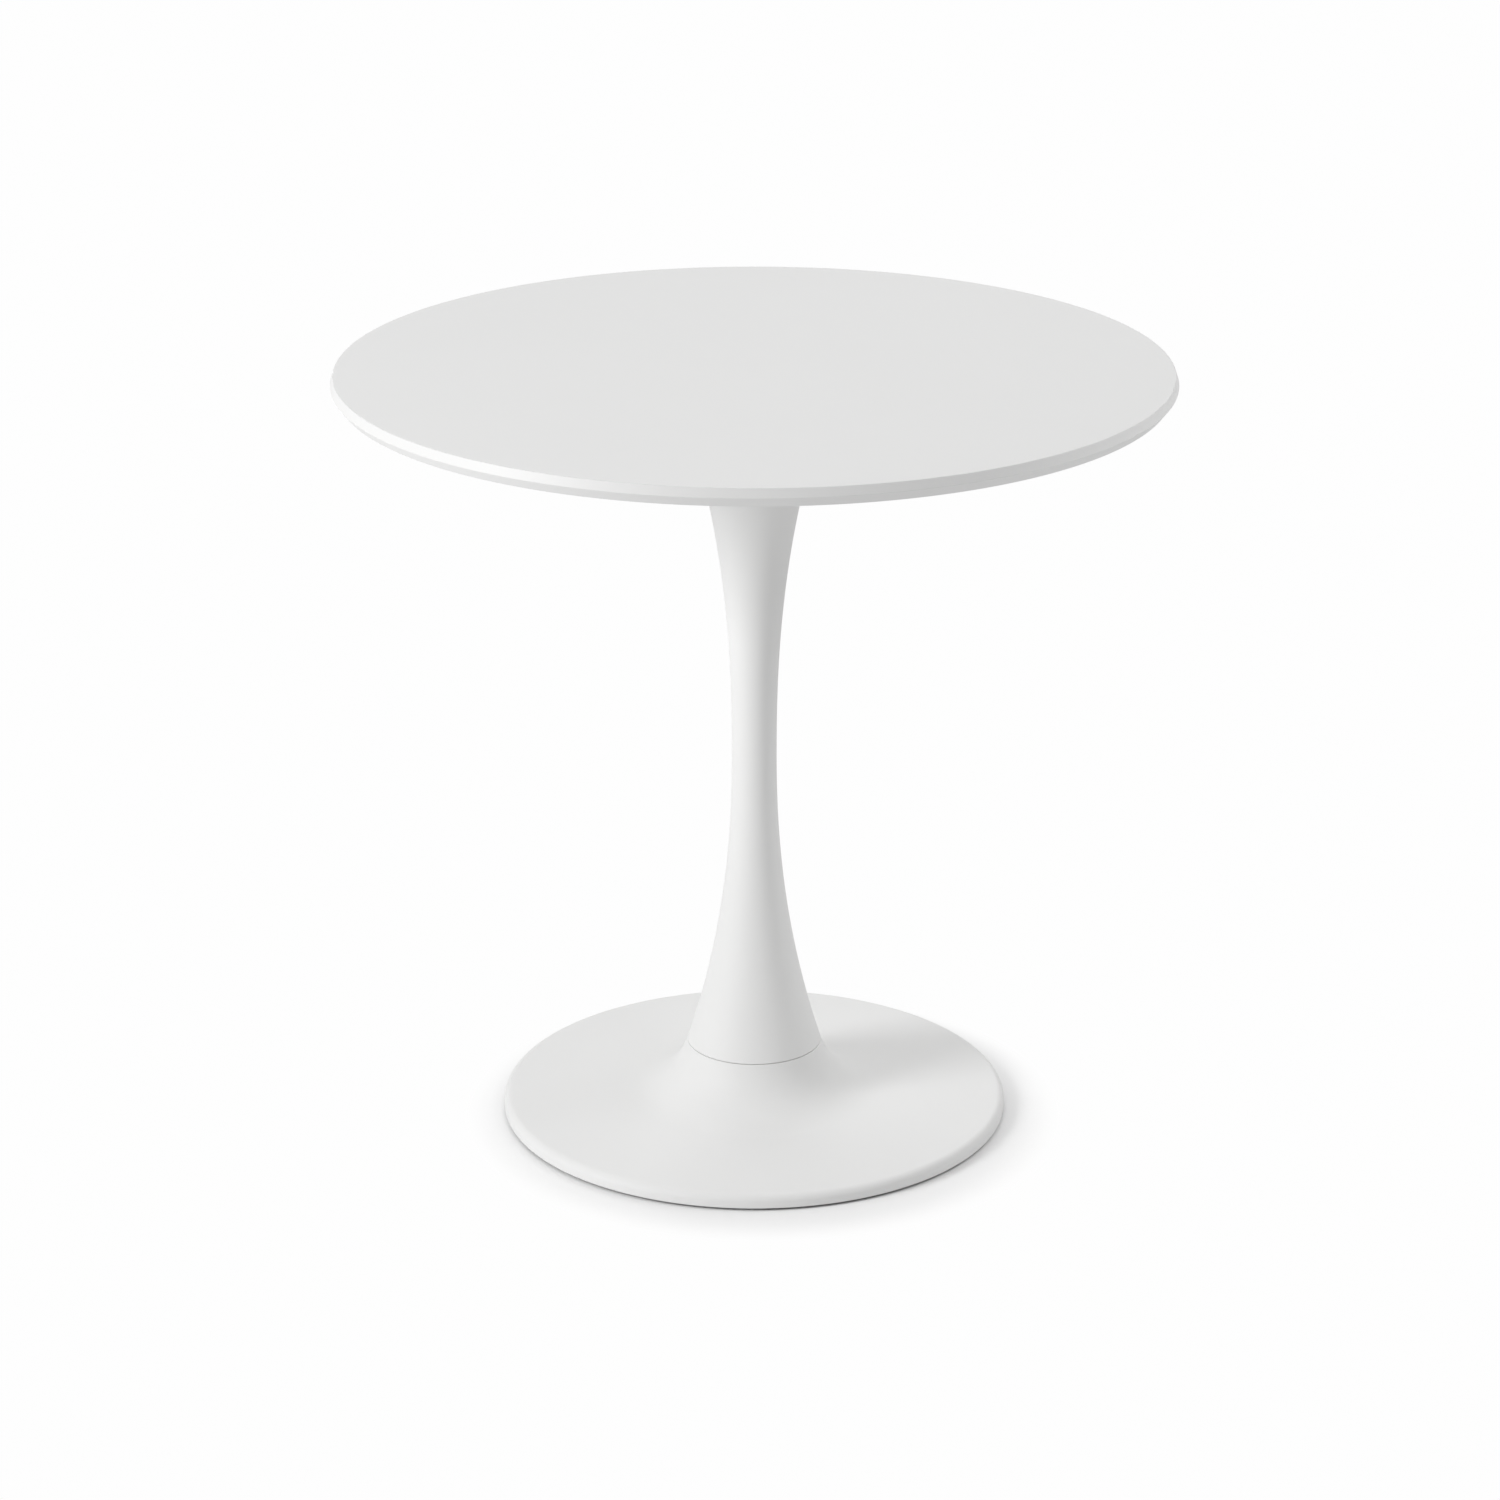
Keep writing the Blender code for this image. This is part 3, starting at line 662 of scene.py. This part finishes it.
def rod(material):
    """M12 rod, threaded at both ends."""
    low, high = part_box("tie_rod")
    chamfer = 0.0012
    lower_end = low.z + ROD_THREAD_LENGTH
    upper_start = high.z - ROD_THREAD_LENGTH
    shank = M12[0] - 0.0002
    points = [(0, low.z), (0.0046, low.z)]
    points += thread_rows(M12, low.z + chamfer, lower_end)
    points += [(shank, z) for z in evenly(lower_end + 0.002, upper_start - 0.002, 12)]
    points += thread_rows(M12, upper_start, high.z - chamfer)
    points += [(0.0046, high.z), (0, high.z)]
    mesh = turned("rod", points, THREAD_SEGMENTS, closed=False)
    place_piece("rod", mesh, "tie_rod", material)


def spring_washer(material):
    """Split washer whose ends step up and down a little at the slot."""
    low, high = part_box("rod_lock_washer")
    rise = 0.0003
    slot = math.radians(5.0)
    section = outline(
        [
            (ROD_HOLE_RADIUS, low.z + rise, 0.0003),
            (high.x, low.z + rise, 0.0003),
            (high.x, high.z - rise, 0.0003),
            (ROD_HOLE_RADIUS, high.z - rise, 0.0003),
        ]
    )
    bm = bmesh.new()
    loops = []
    for angle in evenly(slot, 2 * math.pi - slot, RING_SEGMENTS):
        lift = rise * (angle / math.pi - 1)
        spot = [(r * math.cos(angle), r * math.sin(angle), z + lift) for r, z in section]
        loops.append([bm.verts.new(point) for point in spot])
    count = len(section)
    for low_loop, high_loop in zip(loops, loops[1:]):
        for side in range(count):
            after = (side + 1) % count
            bm.faces.new((low_loop[side], low_loop[after], high_loop[after], high_loop[side]))
    bm.faces.new(loops[0])
    bm.faces.new(loops[-1])
    mesh = finish_mesh("spring_washer", bm)
    place_piece("spring_washer", mesh, "rod_lock_washer", material)


def nut(name, node, material):
    """Hex nut: a hexagonal prism turned down to a cone at both faces, with a real thread."""
    low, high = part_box(node)
    half_flats = 0.0095
    hexagon = polygon(half_flats)
    chamfer = half_flats * (1 / math.cos(math.pi / 6) - 1)
    flare = math.tan(math.radians(60))

    def coned(depth):
        return lambda angle: min(hexagon(angle), half_flats - 0.0003 + depth * flare)

    depths = evenly(0, chamfer, 8)
    points = [(coned(depth), low.z + depth) for depth in depths]
    points += [(coned(depth), high.z - depth) for depth in reversed(depths)]
    mouth = M12[0] + 0.0008
    points.append((mouth, high.z))
    points += thread_rows(M12, high.z - 0.0006, low.z + 0.0006, THREAD_CLEARANCE)
    points.append((mouth, low.z))
    place_piece(name, turned(name, points, 2 * THREAD_SEGMENTS), node, material)


# Base -----------------------------------------------------------------------------------------


def disc_height(radius, rim_start):
    return RIM_TOP + (rim_start - radius) * DISC_SLOPE


def collar_point(part, ledge, rim_start):
    """A point and its outward normal on the collar's curve, from the seam to the disc."""
    top = Vector((FOOT_RADIUS, ledge))
    foot = Vector((COLLAR_FOOT_RADIUS, disc_height(COLLAR_FOOT_RADIUS, rim_start)))
    handle_top = top + Vector((COLLAR_TOP_SLOPE, -1)).normalized() * COLLAR_TOP_PULL
    handle_foot = foot + Vector((-1, DISC_SLOPE)).normalized() * COLLAR_FOOT_PULL
    rest = 1 - part
    point = rest**3 * top + 3 * rest**2 * part * handle_top
    point += 3 * rest * part**2 * handle_foot + part**3 * foot
    tangent = rest**2 * (handle_top - top) + 2 * rest * part * (handle_foot - handle_top)
    tangent += part**2 * (foot - handle_foot)
    tangent.normalize()
    return point, Vector((-tangent.y, tangent.x))


def base_disc(material):
    """Spun cover: spigot, ledge with a soft edge, trumpet collar, gently sloping disc, rim."""
    low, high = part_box("base_cover")
    ledge = high.z - LEDGE_DROP
    rim_start = high.x - RIM_CORNER
    slope_end = rim_start - 0.001
    curve = [collar_point(part, ledge, rim_start) for part in evenly(0, 1, COLLAR_RINGS)]
    outer = [point for point, normal in curve]
    inner = [point - normal * COVER_WALL for point, normal in curve]
    disc = evenly(COLLAR_FOOT_RADIUS, slope_end, DISC_RINGS)[1:-1]
    blend = 3
    ledge_corner = outline(
        [
            (SPIGOT_TOP_RADIUS - COVER_WALL, high.z, 0.0004),
            (SPIGOT_TOP_RADIUS, high.z, 0.0004),
            (SPIGOT_ROOT_RADIUS, ledge, 0.0004),
            (FOOT_RADIUS, ledge, 0.0006),
            (outer[blend].x, outer[blend].y, 0),
        ],
        closed=False,
    )
    rim = outline(
        [
            (slope_end, disc_height(slope_end, rim_start), 0),
            (high.x, RIM_TOP, RIM_CORNER - 0.0002),
            (high.x, low.z, 0.0005),
            (high.x - COVER_WALL, low.z, 0.0005),
            (high.x - COVER_WALL, RIM_TOP - COVER_WALL, RIM_CORNER - COVER_WALL),
            (slope_end, RIM_TOP - COVER_WALL, 0),
        ],
        closed=False,
    )
    points = ledge_corner[:-1]
    points += [(point.x, point.y) for point in outer[blend:]]
    points += [(radius, disc_height(radius, rim_start)) for radius in disc]
    points += rim
    points += [
        (radius, disc_height(radius, rim_start) - COVER_WALL) for radius in reversed(disc)
    ]
    under_ledge = ledge - COVER_WALL
    points += [(point.x, point.y) for point in reversed(inner) if point.y < under_ledge - 0.001]
    points += [
        (FOOT_RADIUS + COLLAR_TOP_SLOPE * COVER_WALL - COVER_WALL, under_ledge),
        (SPIGOT_ROOT_RADIUS - COVER_WALL, under_ledge),
    ]
    place_piece("base_disc", turned("base_disc", points, BASE_SEGMENTS), "base_cover", material)


def hub(material):
    """Turned block with a threaded bore and four blind screw holes."""
    low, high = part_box("hub_block")
    points = outline(
        [
            (M12[0] + THREAD_MOUTH, low.z, 0),
            (high.x, low.z, 0.0006),
            (high.x, high.z, 0.0020),
            (M12[0] + THREAD_MOUTH, high.z, 0),
        ],
        closed=False,
    )
    points += thread_rows(M12, high.z - 0.0008, low.z + 0.0008, THREAD_CLEARANCE)
    mesh = turned("hub", points, 2 * THREAD_SEGMENTS)
    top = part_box("hub_screw_1")[1].z + HOLE_CLEARANCE
    radius = M8[0] + HOLE_CLEARANCE
    hole = drill_shape("hub_hole", low.z - TOOL_OVERRUN, top, radius, 0.0017)
    spots = [axis_of(name) for name in numbered("hub_screw")]
    place_piece("hub", cut("hub", mesh, hole, spots), "hub_block", material)


def ballast(material):
    """Thick plate with a softened edge, countersunk holes and holes for the glide bushes."""
    low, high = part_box("base_plate")
    rings = evenly(0, high.x - 0.004, 10)
    edge = outline(
        [
            (0, low.z, 0),
            (high.x, low.z, BALLAST_EDGE),
            (high.x, high.z, BALLAST_EDGE),
            (0, high.z, 0),
        ],
        closed=False,
    )
    points = [(radius, low.z) for radius in rings] + edge[1:-1]
    points += [(radius, high.z) for radius in reversed(rings)]
    mesh = turned("ballast", points, BASE_SEGMENTS, closed=False)
    start = low.z - TOOL_OVERRUN
    end = high.z + TOOL_OVERRUN
    lip = low.z + COUNTERSINK_LIP
    sink = turned(
        "countersink",
        [
            (0, start),
            (COUNTERSINK_RADIUS, start),
            (COUNTERSINK_RADIUS, lip),
            (COUNTERSINK_SHANK_RADIUS, lip + COUNTERSINK_RADIUS - COUNTERSINK_SHANK_RADIUS),
            (COUNTERSINK_SHANK_RADIUS, end),
            (0, end),
        ],
        THREAD_SEGMENTS,
        closed=False,
    )
    screw_spots = [axis_of(name) for name in numbered("hub_screw")]
    mesh = cut("ballast", mesh, sink, screw_spots)
    bush = drill_shape("bush_hole", start, end, BUSH_HOLE_RADIUS)
    bush_spots = [axis_of(name) for name in numbered("glide_bush")]
    place_piece("ballast", cut("ballast", mesh, bush, bush_spots), "base_plate", material)


def countersunk_screws(material):
    """M8 countersunk screws with hex sockets, flush with the ballast's underside."""
    low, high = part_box("hub_screw_1")
    head = (high.x - low.x) / 2
    socket = polygon(0.0025)
    cone_top = low.z + head - M8[0]
    socket_end = low.z + 0.0028
    points = [(0, socket_end), (socket, socket_end), (socket, low.z + 0.0002)]
    points += [(0.0032, low.z), (head - 0.0002, low.z), (head, low.z + 0.0003)]
    points.append((M8[0], cone_top))
    points += thread_rows(M8, cone_top + 0.0004, high.z - 0.0008)
    points += [(0.0030, high.z), (0, high.z)]
    mesh = turned("countersunk_screw", points, THREAD_SEGMENTS, closed=False)
    for name in numbered("hub_screw"):
        new_name = name.replace("hub_screw", "countersunk_screw")
        place_piece(new_name, mesh, name, material, spot=axis_of(name))


def rim_seal(material):
    """Rubber ring with three shallow lips on its outer face."""
    low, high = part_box("rim_gasket")
    lips = 3
    lip_height = 0.0005
    corner = 0.0012
    face = []
    for height in evenly(low.z + 0.0006, high.z - 0.0006, 8 * lips):
        turn = (height - low.z) / (high.z - low.z) * lips
        face.append((high.x - lip_height * (1 - abs(math.sin(math.pi * turn))), height))
    points = [(GASKET_INNER_RADIUS, low.z), (high.x - corner, low.z)] + face
    points += [(high.x - corner, high.z), (GASKET_INNER_RADIUS, high.z)]
    place_piece("rim_seal", turned("rim_seal", points, BASE_SEGMENTS), "rim_gasket", material)


# Levelling glides -----------------------------------------------------------------------------


def bushes(material):
    """Flanged bushes with knurled barrels and M8 threads."""
    low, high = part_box("glide_bush_1")
    flange = (high.x - low.x) / 2
    flange_low = high.z - 0.0012
    barrel = 0.0065
    ridges = 24

    def knurl(angle):
        return barrel - 0.0002 * abs(math.sin(ridges / 2 * angle))

    points = [(barrel - 0.0003, low.z), (knurl, low.z + 0.0006), (knurl, flange_low - 0.0002)]
    points += [(flange - 0.0002, flange_low), (flange, flange_low + 0.0002)]
    points += [(flange, high.z - 0.0002), (flange - 0.0002, high.z)]
    mouth = M8[0] + 0.0007
    points.append((mouth, high.z))
    points += thread_rows(M8, high.z - 0.0004, low.z + 0.0004, THREAD_CLEARANCE)
    points.append((mouth, low.z))
    mesh = turned("bush", points, 2 * THREAD_SEGMENTS)
    for name in numbered("glide_bush"):
        place_piece(name.replace("glide_", "knurled_"), mesh, name, material, spot=axis_of(name))


def studs(material):
    """M8 studs; the flat head turns in its pad and takes a hex key from below."""
    low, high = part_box("glide_stud_1")
    head = (high.x - low.x) / 2
    head_top = low.z + 0.0019
    socket = polygon(0.0020)
    socket_end = low.z + 0.0030
    points = [(0, socket_end), (socket, socket_end), (socket, low.z + 0.0002)]
    points += [(0.0026, low.z), (head - 0.0002, low.z), (head, low.z + 0.0002)]
    points += [(head, head_top - 0.0002), (head - 0.0002, head_top), (M8[0] - 0.0004, head_top)]
    points += thread_rows(M8, head_top + 0.0004, high.z - 0.0006)
    points += [(0.0030, high.z), (0, high.z)]
    mesh = turned("stud", points, THREAD_SEGMENTS, closed=False)
    for number, name in enumerate(numbered("glide_stud"), start=1):
        body = f"glide_stud_body_{number}"
        place_piece(f"level_stud_{number}", mesh, name, material, body, axis_of(name))


def pads(material):
    """Nylon pads with grip flutes round the edge and a hole for the key."""
    low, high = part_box("glide_pad_1")
    outer = (high.x - low.x) / 2
    stud_low, stud_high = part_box("glide_stud_1")
    pocket = (stud_high.x - stud_low.x) / 2 + 0.0004
    pocket_low = stud_low.z - 0.0003
    pocket_high = stud_low.z + 0.0022
    access = 0.0035
    neck = 0.0046
    flutes = 28
    facets_per_flute = 7
    heel = 0.0012

    def grip(inset):
        return lambda angle: outer - inset - 0.0003 * (0.5 - 0.5 * math.cos(flutes * angle))

    points = [(access, low.z), (outer - heel, low.z)]
    for angle in evenly(math.pi / 12, math.pi / 2, 5):
        inset = heel * (1 - math.sin(angle))
        points.append((grip(inset), low.z + heel * (1 - math.cos(angle))))
    points += [(grip(0), high.z - 0.0006), (grip(0.0002), high.z - 0.0002)]
    points += [(outer - 0.0009, high.z), (neck + 0.0002, high.z), (neck, high.z - 0.0002)]
    points += [(neck, pocket_high), (pocket, pocket_high), (pocket, pocket_low)]
    points.append((access, pocket_low))
    mesh = turned("pad", points, facets_per_flute * flutes)
    for number, name in enumerate(numbered("glide_pad"), start=1):
        body = f"glide_pad_body_{number}"
        place_piece(f"floor_pad_{number}", mesh, name, material, body, axis_of(name))


# Studio ---------------------------------------------------------------------------------------


def floor():
    """Large white floor that takes shadows near the table and glows evenly further out.

    It is clear from below and has a round opening that the base hides, so that the underside
    takes light and can be looked at.
    """
    bm = bmesh.new()
    corners = [(-1, -1), (1, -1), (1, 1), (-1, 1)]
    bm.faces.new([bm.verts.new((x * FLOOR_HALF, y * FLOOR_HALF, 0)) for x, y in corners])
    mesh = bpy.data.meshes.new("floor")
    bm.to_mesh(mesh)
    bm.free()
    material = bpy.data.materials.new("floor")
    material.use_nodes = True
    shader = material.node_tree.nodes["Principled BSDF"]
    shader.inputs["Base Color"].default_value = (*FLOOR_COLOUR, 1.0)
    shader.inputs["Roughness"].default_value = 0.9
    shader.inputs["Specular IOR Level"].default_value = 0.2
    place = add_node(material, "ShaderNodeTexCoord")
    reach = add_node(
        material, "ShaderNodeVectorMath", {1: FLOOR_FADE_CENTRE}, operation="DISTANCE"
    )
    link(material, place, "Object", reach, 0)
    fade = add_node(
        material,
        "ShaderNodeMapRange",
        {"From Min": FLOOR_FADE_START, "From Max": FLOOR_FADE_END},
        interpolation_type="SMOOTHSTEP",
    )
    link(material, reach, "Value", fade, "Value")
    path = add_node(material, "ShaderNodeLightPath")
    seen = spread(material, path, "Is Camera Ray", FLOOR_BOUNCE, FLOOR_GLOW)
    glow = add_node(material, "ShaderNodeEmission")
    link(material, seen, "Result", glow, "Strength")
    blend = add_node(material, "ShaderNodeMixShader")
    link(material, fade, "Result", blend, 0)
    link(material, shader, "BSDF", blend, 1)
    link(material, glow, "Emission", blend, 2)
    radius = add_node(material, "ShaderNodeVectorMath", operation="LENGTH")
    link(material, place, "Object", radius, 0)
    opening = add_node(material, "ShaderNodeMath", {1: FLOOR_OPENING}, operation="LESS_THAN")
    link(material, radius, "Value", opening, 0)
    side = add_node(material, "ShaderNodeNewGeometry")
    see_through = add_node(material, "ShaderNodeMath", operation="MAXIMUM")
    link(material, side, "Backfacing", see_through, 0)
    link(material, opening, "Value", see_through, 1)
    clear = add_node(material, "ShaderNodeBsdfTransparent")
    one_way = add_node(material, "ShaderNodeMixShader")
    link(material, see_through, "Value", one_way, 0)
    link(material, blend, "Shader", one_way, 1)
    link(material, clear, "BSDF", one_way, 2)
    link(material, one_way, "Shader", material.node_tree.nodes["Material Output"], "Surface")
    mesh.materials.append(material)
    plane = bpy.data.objects.new("floor", mesh)
    bpy.context.scene.collection.objects.link(plane)


def softbox(name, azimuth_deg, elevation_deg, size, power):
    """Square area light that faces the table; azimuth 0 is the camera's side, 90 its right."""
    azimuth = math.radians(azimuth_deg)
    elevation = math.radians(elevation_deg)
    aim = Vector((0, 0, LIGHT_AIM_HEIGHT))
    away = Vector(
        (
            math.sin(azimuth) * math.cos(elevation),
            -math.cos(azimuth) * math.cos(elevation),
            math.sin(elevation),
        )
    )
    light = bpy.data.lights.new(name, "AREA")
    light.size = size
    light.energy = power
    lamp = bpy.data.objects.new(name, light)
    lamp.location = aim + away * LIGHT_DISTANCE
    lamp.rotation_euler = (-away).to_track_quat("-Z", "Y").to_euler()
    lamp.visible_camera = False
    bpy.context.scene.collection.objects.link(lamp)


def lights():
    """A key from the front left, a weaker one below it, and fill from every other side."""
    softbox("key", -62, 26, 1.0, 45.5)
    softbox("low_key", -62, 8, 1.0, 11.3)
    softbox("front_left", -35, 20, 1.0, 1.3)
    softbox("rear_left", -150, 30, 1.6, 6.4)
    softbox("rear", 180, 45, 1.6, 20.0)
    softbox("low_right", 110, 12, 1.6, 2.9)
    softbox("rear_right", 120, 45, 1.6, 8.2)
    softbox("right", 90, 45, 1.6, 15.6)
    softbox("front_right", 50, 45, 1.6, 10.4)
    softbox("overhead", 0, 90, 2.0, 2.0)


def sky(strength):
    """Even white surroundings; seen directly they are as white as the far floor."""
    world = bpy.data.worlds.new("sky")
    world.use_nodes = True
    bpy.context.scene.world = world
    nodes = world.node_tree.nodes
    links = world.node_tree.links
    light = nodes["Background"]
    light.inputs["Color"].default_value = (1.0, 1.0, 1.0, 1.0)
    light.inputs["Strength"].default_value = strength
    seen = nodes.new("ShaderNodeBackground")
    seen.inputs["Color"].default_value = (1.0, 1.0, 1.0, 1.0)
    seen.inputs["Strength"].default_value = FLOOR_GLOW
    path = nodes.new("ShaderNodeLightPath")
    blend = nodes.new("ShaderNodeMixShader")
    links.new(path.outputs["Is Camera Ray"], blend.inputs[0])
    links.new(light.outputs["Background"], blend.inputs[1])
    links.new(seen.outputs["Background"], blend.inputs[2])
    links.new(blend.outputs["Shader"], nodes["World Output"].inputs["Surface"])


def camera():
    """Long lens, looking down at the table from the front."""
    lens = bpy.data.cameras.new("camera")
    lens.sensor_width = CAMERA_SENSOR
    lens.lens = CAMERA_LENS
    eye = bpy.data.objects.new("camera", lens)
    eye.location = (CAMERA_SIDE, -CAMERA_DISTANCE, CAMERA_HEIGHT)
    eye.rotation_euler = (math.radians(90 - CAMERA_TILT_DEG), 0, 0)
    bpy.context.scene.collection.objects.link(eye)
    bpy.context.scene.camera = eye


def colour_management():
    view = bpy.context.scene.view_settings
    view.view_transform = "Standard"
    view.look = "None"
    view.exposure = 0.0
    view.gamma = 1.0


# Assembly -------------------------------------------------------------------------------------


def table():
    lacquer = white_lacquer()
    coat = white_powder_coat()
    zinc = zinc_steel()
    black = black_steel()
    brass = turned_brass()
    nylon = grey_nylon()
    rubber = black_rubber()
    board(lacquer)
    inserts(brass)
    top_plate(black)
    button_screws(zinc)
    plain_ring("mouth_ring", "locating_ring", LOCATING_RING_INNER_RADIUS, 0.0005, black)
    column(coat)
    inner_foot_ring(black)
    rod(zinc)
    plain_ring("flat_washer", "rod_washer", ROD_HOLE_RADIUS, 0.0004, zinc, THREAD_SEGMENTS * 2)
    spring_washer(zinc)
    nut("clamp_nut", "rod_nut", zinc)
    nut("jam_nut", "rod_jam_nut", zinc)
    base_disc(coat)
    plain_ring("stand_tube", "support_tube", SUPPORT_TUBE_INNER_RADIUS, 0.0006, black)
    hub(zinc)
    ballast(black)
    countersunk_screws(zinc)
    rim_seal(rubber)
    bushes(zinc)
    studs(zinc)
    pads(nylon)


table()
floor()
sky(SKY_FILL)
lights()
camera()
colour_management()
